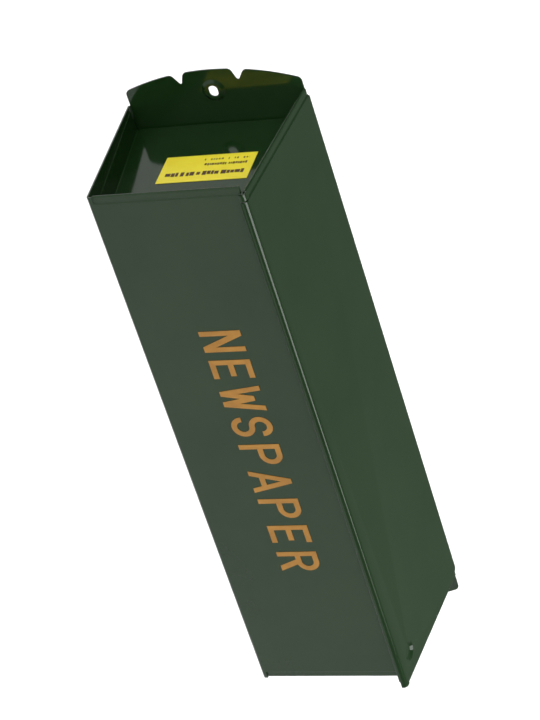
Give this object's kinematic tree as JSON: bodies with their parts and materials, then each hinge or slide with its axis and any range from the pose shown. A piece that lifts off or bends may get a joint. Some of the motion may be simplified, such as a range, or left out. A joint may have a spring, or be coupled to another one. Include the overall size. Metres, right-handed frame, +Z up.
{
  "type": "newspaper delivery box",
  "caption": "Long wall-hung sheet-steel box of trapezoid section that holds a rolled newspaper, open at one end, with a recessed tray at the other and slotted fixing tabs.",
  "frame": {"origin": "midway between the two screw slots, on the rear face of their bosses, 2.5 mm in front of the wall plane", "axes": "+X along the box from the closed end to the open mouth, +Y into the wall, +Z up"},
  "size_m": [0.5104, 0.1266, 0.1368],
  "materials": {
    "green_paint": "high gloss powder coat",
    "label_film": "printed gloss film",
    "gold_ink": "satin screen print"
  },
  "bodies": {
    "root": {"front_and_floor_panel": "green_paint", "roof_panel": "green_paint", "back_plate": "green_paint", "end_tray": "green_paint", "end_label": "label_film", "legend": "gold_ink"}
  },
  "joints": []
}
